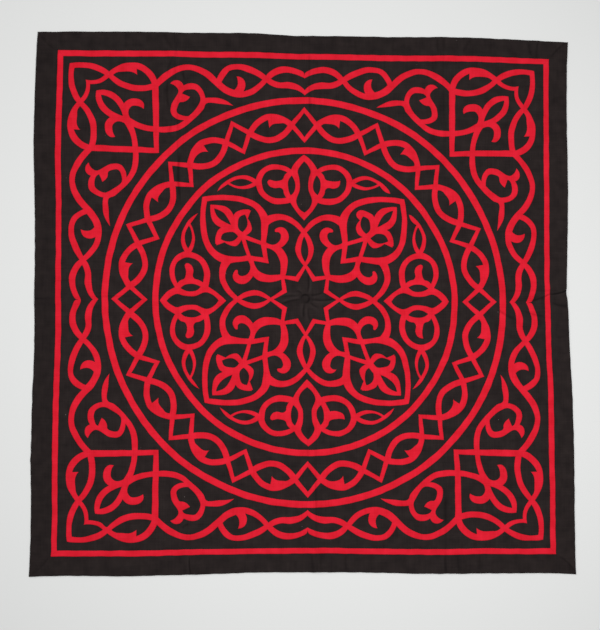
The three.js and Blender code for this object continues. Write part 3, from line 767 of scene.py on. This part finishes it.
def fold_knots(folds, axis, level):
    """Where a level line of the flat cloth crosses its edges and folds, on the given axis."""
    level = level + PANEL_MIDDLE[1 - axis]
    inner = [fold_place(fold, axis, level) - PANEL_MIDDLE[axis] for fold in folds]
    return [-HALF_SIDE, *inner, HALF_SIDE]


def cell_counts(folds, axis):
    """How many even cells lie between one fold and the next."""
    knots = fold_knots(folds, axis, 0.0)
    return [round((high - low - 2 * FOLD_RULES[-1]) / GROUND_CELL) for low, high in zip(knots, knots[1:])]


def ruled_grid():
    """The flat ground cloth as a grid whose lines follow the storage folds."""
    uprights = [fold for fold in FOLDS if abs(fold["from"][0] - fold["to"][0]) < HALF_SIDE]
    levels = [fold for fold in FOLDS if fold not in uprights]
    column_counts, row_counts = cell_counts(uprights, 0), cell_counts(levels, 1)
    row_levels = ruled_lines(fold_knots(levels, 1, 0.0), row_counts)
    columns = len(ruled_lines(fold_knots(uprights, 0, 0.0), column_counts))
    rows = len(row_levels)
    flat = np.zeros((rows, columns, 2))
    for row, level in enumerate(row_levels):
        flat[row, :, 0] = ruled_lines(fold_knots(uprights, 0, level), column_counts)
    for column in range(columns):
        across = flat[rows // 2, column, 0]
        flat[:, column, 1] = ruled_lines(fold_knots(levels, 1, across), row_counts)
    sheet = bmesh.new()
    bmesh.ops.create_grid(sheet, x_segments=columns - 1, y_segments=rows - 1, size=HALF_SIDE)
    for vert, place in zip(sheet.verts, flat.reshape(-1, 2)):
        vert.co.xy = place
    return sheet


def ground_sheet(material):
    """The black ground: a grid ruled along the storage folds and finer at its creases, laid on the floor."""
    sheet = ruled_grid()
    near = near_creases(np.array([vert.co.xy[:] for vert in sheet.verts]) + PANEL_MIDDLE)
    sheet.verts.index_update()
    fine = [edge for edge in sheet.edges if all(near[vert.index] for vert in edge.verts)]
    bmesh.ops.subdivide_edges(sheet, edges=fine, cuts=CREASE_CUTS, use_grid_fill=True)
    places = laid(np.array([vert.co.xy[:] for vert in sheet.verts]), sway_of_edges())
    for vert, place, height in zip(sheet.verts, places, ground_top(places)):
        vert.co = (place[0] * MM, place[1] * MM, height * MM)
    mesh = bpy.data.meshes.new("ground_sheet")
    sheet.to_mesh(mesh)
    sheet.free()
    piece = cloth_object("ground_sheet", mesh, material)
    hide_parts("ground_cloth")
    store_painted_crease_light(piece)
    body = piece.modifiers.new("thickness", "SOLIDIFY")
    body.thickness = GROUND_THICK * MM
    body.offset = -1
    return piece


# Stitches

def thread_tube(stations, sides=3):
    """Corners and faces of a short thread through a few stations."""
    corners, faces = [], []
    along = (stations[-1] - stations[0]).normalized()
    aside = along.cross(Vector((0, 0, 1))).normalized()
    upward = aside.cross(along)
    for place in stations:
        for side in range(sides):
            angle = 2 * math.pi * side / sides + math.pi / 2
            corners.append(place + (aside * math.cos(angle) + upward * math.sin(angle)) * STITCH_THREAD / 2)
    for step in range(len(stations) - 1):
        for side in range(sides):
            a = step * sides + side
            b = step * sides + (side + 1) % sides
            faces.append((a, a + sides, b + sides, b))
    faces.append(tuple(range(sides)))
    faces.append(tuple(range(len(corners) - 1, len(corners) - 1 - sides, -1)))
    return corners, faces


def joined_threads(name, threads, material):
    """All stitches of a piece as one mesh."""
    corners, faces = [], []
    for thread_corners, thread_faces in threads:
        start = len(corners)
        corners += [corner[:] for corner in thread_corners]
        faces += [tuple(start + corner for corner in face) for face in thread_faces]
    piece = piece_object(name, corners, faces, material)
    return piece


def slip_stitches(rim, jitter):
    """Short slanting stitches that hold a turned edge down, one every few millimetres."""
    routes = []
    for point, inward in rim.stitched:
        along = Vector((inward.y, -inward.x))
        slant = along * jitter.uniform(*STITCH_SLANT)
        on_cloth = point + inward * jitter.uniform(*STITCH_HOLD) + slant
        if rim.holds(on_cloth, STITCH_ROOM):
            routes.append((on_cloth, point + inward * STITCH_OVER, point - inward * STITCH_OUT - slant))
    places = np.array([place[:] for route in routes for place in route])
    heights = ground_top(places).reshape(-1, 3) + STITCH_HEIGHTS
    threads = []
    for route, levels in zip(routes, heights):
        threads.append(thread_tube([Vector((*place, level)) for place, level in zip(route, levels)]))
    return threads


# Cloths, as their threads and wear give them to the eye, with shade and highlight painted at their pressed
# lines

def add_node(tree, kind, inputs=None, **settings):
    """A node with its settings, and each input set to a value or linked to a socket."""
    made = tree.nodes.new(kind)
    for name, value in settings.items():
        setattr(made, name, value)
    for name, value in (inputs or {}).items():
        if isinstance(value, bpy.types.NodeSocket):
            tree.links.new(value, made.inputs[name])
        else:
            made.inputs[name].default_value = value
    return made


def hex_to_linear(colour):
    """An sRGB hex colour as linear light, opaque."""
    channels = [int(colour[place:place + 2], 16) / 255 for place in (1, 3, 5)]
    return [c / 12.92 if c <= 0.04045 else ((c + 0.055) / 1.055) ** 2.4 for c in channels] + [1.0]


def woven_cotton(name, colours):
    """Plain-woven cotton, piece-dyed and ironed flat. Its short fibres scatter the light, so it is matt.
    Uneven yarn gives faint streaks both ways, dye and wear a soft mottle, and a pressed fold a darker line of
    painted shade with a painted highlight beside it.
    Lint clings to it in pale specks."""
    material = bpy.data.materials.new(name)
    material.use_nodes = True
    tree = material.node_tree
    shader = tree.nodes["Principled BSDF"]
    where = add_node(tree, "ShaderNodeTexCoord").outputs["Object"]

    # Streaks of slubby yarn: real yarn is 0.5 mm, drawn four times as coarse so that it shows
    streaks = []
    for stretch in (YARN_STREAK, YARN_STREAK[::-1]):
        scale = (1 / (stretch[0] * MM), 1 / (stretch[1] * MM), 1.0)
        along = add_node(tree, "ShaderNodeMapping", {"Vector": where, "Scale": scale})
        streaks.append(add_node(
            tree, "ShaderNodeTexNoise", {"Vector": along.outputs[0], "Scale": 1.0, "Detail": 2.0}))
    yarn = add_node(
        tree, "ShaderNodeMath", {0: streaks[0].outputs["Fac"], 1: streaks[1].outputs["Fac"]}, operation="ADD")
    faint = add_node(tree, "ShaderNodeMath", {0: yarn.outputs[0], 1: STREAK_SHARE}, operation="MULTIPLY")
    mottle = add_node(
        tree, "ShaderNodeTexNoise", {"Vector": where, "Scale": 1 / (MOTTLE * MM), "Detail": 4.0})
    uneven = add_node(
        tree, "ShaderNodeMath", {0: faint.outputs[0], 1: mottle.outputs["Fac"]}, operation="ADD")
    middle = STREAK_SHARE + 0.5
    tone = add_node(
        tree, "ShaderNodeMapRange", {0: uneven.outputs[0], 1: middle - TONE_REACH, 2: middle + TONE_REACH})
    dyed_and_shaded = add_node(
        tree, "ShaderNodeMix",
        {0: tone.outputs[0], 6: hex_to_linear(colours["plain"]), 7: hex_to_linear(colours["pale"])},
        data_type="RGBA")

    # Painted shade along the pressed lines and a painted highlight on the swells beside them, and specks of
    # lint in some cells of a scattered pattern
    for painted_light in ("pressed_and_shaded", "swell_highlight"):
        share = add_node(tree, "ShaderNodeAttribute", attribute_name=painted_light)
        dyed_and_shaded = add_node(
            tree, "ShaderNodeMix",
            {0: share.outputs["Fac"], 6: dyed_and_shaded.outputs[2], 7: hex_to_linear(colours[painted_light])}, data_type="RGBA")
    cells = add_node(
        tree, "ShaderNodeTexVoronoi",
        {"Vector": where, "Scale": 1 / (LINT["apart"] * MM)}, voronoi_dimensions="2D")
    chance = add_node(tree, "ShaderNodeSeparateColor", {0: cells.outputs["Color"]})
    reach = add_node(
        tree, "ShaderNodeMapRange",
        {0: chance.outputs[0], 1: 1 - LINT["share"], 2: 1.0, 3: 0.0, 4: LINT["radius"] / LINT["apart"]})
    speck = add_node(
        tree, "ShaderNodeMath", {0: cells.outputs["Distance"], 1: reach.outputs[0]}, operation="LESS_THAN")
    specked = add_node(
        tree, "ShaderNodeMix",
        {0: speck.outputs[0], 6: dyed_and_shaded.outputs[2], 7: hex_to_linear(colours["lint"])}, data_type="RGBA")
    tree.links.new(specked.outputs[2], shader.inputs["Base Color"])

    # A matt face, a little smoother where the mottle shows wear
    rough = add_node(
        tree, "ShaderNodeMapRange",
        {0: mottle.outputs["Fac"], 1: 0.3, 2: 0.7, 3: MATT["smoothest"], 4: MATT["roughest"]})
    tree.links.new(rough.outputs[0], shader.inputs["Roughness"])
    shader.inputs["Specular IOR Level"].default_value = FIBRE_SPECULAR
    shader.inputs["Sheen Weight"].default_value = FIBRE_SHEEN

    # Plain weave: real threads lie about 0.5 mm apart, drawn coarser so that they show, and thick yarns swell
    # (a wave texture of scale 1 has ten bands in every pi units)
    threads = []
    for direction in ("X", "Y"):
        threads.append(add_node(
            tree, "ShaderNodeTexWave",
            {"Vector": where, "Scale": math.pi / 10 / (THREAD * MM)}, bands_direction=direction))
    weave = add_node(
        tree, "ShaderNodeMath", {0: threads[0].outputs["Fac"], 1: threads[1].outputs["Fac"]}, operation="ADD")
    body = add_node(tree, "ShaderNodeMath", {0: weave.outputs[0], 1: yarn.outputs[0]}, operation="ADD")
    bump = add_node(
        tree, "ShaderNodeBump",
        {"Height": body.outputs[0], "Distance": THREAD_RELIEF * MM, "Strength": RELIEF_STRENGTH})
    tree.links.new(bump.outputs["Normal"], shader.inputs["Normal"])
    return material


# Studio

def add_camera():
    """The camera, with the floor's +Y upwards in the picture."""
    camera = bpy.data.objects.new("camera", bpy.data.cameras.new("camera"))
    bpy.context.scene.collection.objects.link(camera)
    back = (CAMERA_AT - CAMERA_LOOKS_AT).normalized()
    right = Vector((0, 1, 0)).cross(back).normalized()
    camera.location = CAMERA_AT
    camera.rotation_euler = Matrix((right, back.cross(right), back)).transposed().to_euler()
    camera.data.lens = CAMERA_LENS
    camera.data.sensor_width = CAMERA_SENSOR
    bpy.context.scene.camera = camera


def add_floor():
    """A pale floor of uncoated paper, which is matt and has hardly a gleam."""
    floor = bmesh.new()
    bmesh.ops.create_grid(floor, x_segments=1, y_segments=1, size=FLOOR_HALF)
    mesh = bpy.data.meshes.new("pale_floor")
    floor.to_mesh(mesh)
    floor.free()
    mesh.transform(Matrix.Translation((0, 0, -FLOOR_DROP * MM)))
    piece = bpy.data.objects.new("pale_floor", mesh)
    bpy.context.scene.collection.objects.link(piece)
    material = bpy.data.materials.new("pale_paper")
    material.use_nodes = True
    shader = material.node_tree.nodes["Principled BSDF"]
    shader.inputs["Base Color"].default_value = hex_to_linear(FLOOR_COLOUR)
    shader.inputs["Roughness"].default_value = FLOOR_ROUGHNESS
    shader.inputs["Specular IOR Level"].default_value = FLOOR_SPECULAR
    mesh.materials.append(material)


def add_light(name, at, size, watts):
    """A soft square light that looks at the middle of the floor."""
    lamp = bpy.data.lights.new(name, "AREA")
    lamp.size = size
    lamp.energy = watts
    light = bpy.data.objects.new(name, lamp)
    bpy.context.scene.collection.objects.link(light)
    light.visible_camera = False
    light.location = at
    light.rotation_euler = (-Vector(at)).to_track_quat("-Z", "Y").to_euler()


def add_studio():
    """The floor, the lights and a dim even sky."""
    add_floor()
    for light in STUDIO_LIGHTS:
        add_light(**light)
    world = bpy.data.worlds.new("studio")
    world.use_nodes = True
    world.node_tree.nodes["Background"].inputs["Color"].default_value = hex_to_linear(SKY_COLOUR)
    world.node_tree.nodes["Background"].inputs["Strength"].default_value = SKY_STRENGTH
    bpy.context.scene.world = world
    bpy.context.scene.view_settings.view_transform = "Standard"


def make_panel():
    """The ground, the border, then the red frame and nets with their stitches."""
    black = woven_cotton("black_plain_cotton", BLACK)
    red = woven_cotton("red_plain_cotton", RED)
    ground = ground_sheet(black)
    for side in SIDES:
        # Each border strip gets its own painted grain shade
        piece, _ = sewn_sheet(f"border_{side}", black, covers_hem=True, butted=True, grain_shade=BORDER_GRAIN_SHADE[side])
    jitter = random.Random(STITCH_SEED)
    nets = []
    for node in FRAME_STRIPS + RED_NETS:
        in_frame = node in FRAME_STRIPS
        piece, rim = sewn_sheet(node, red, sewn=True, butted=in_frame)
        stitches = joined_threads(f"{node}_stitches", slip_stitches(rim, jitter), red)
        if in_frame:
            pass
        else:
            nets += [piece, stitches]
    side = 2 * HALF_SIDE * MM


add_camera()
add_studio()
make_panel()
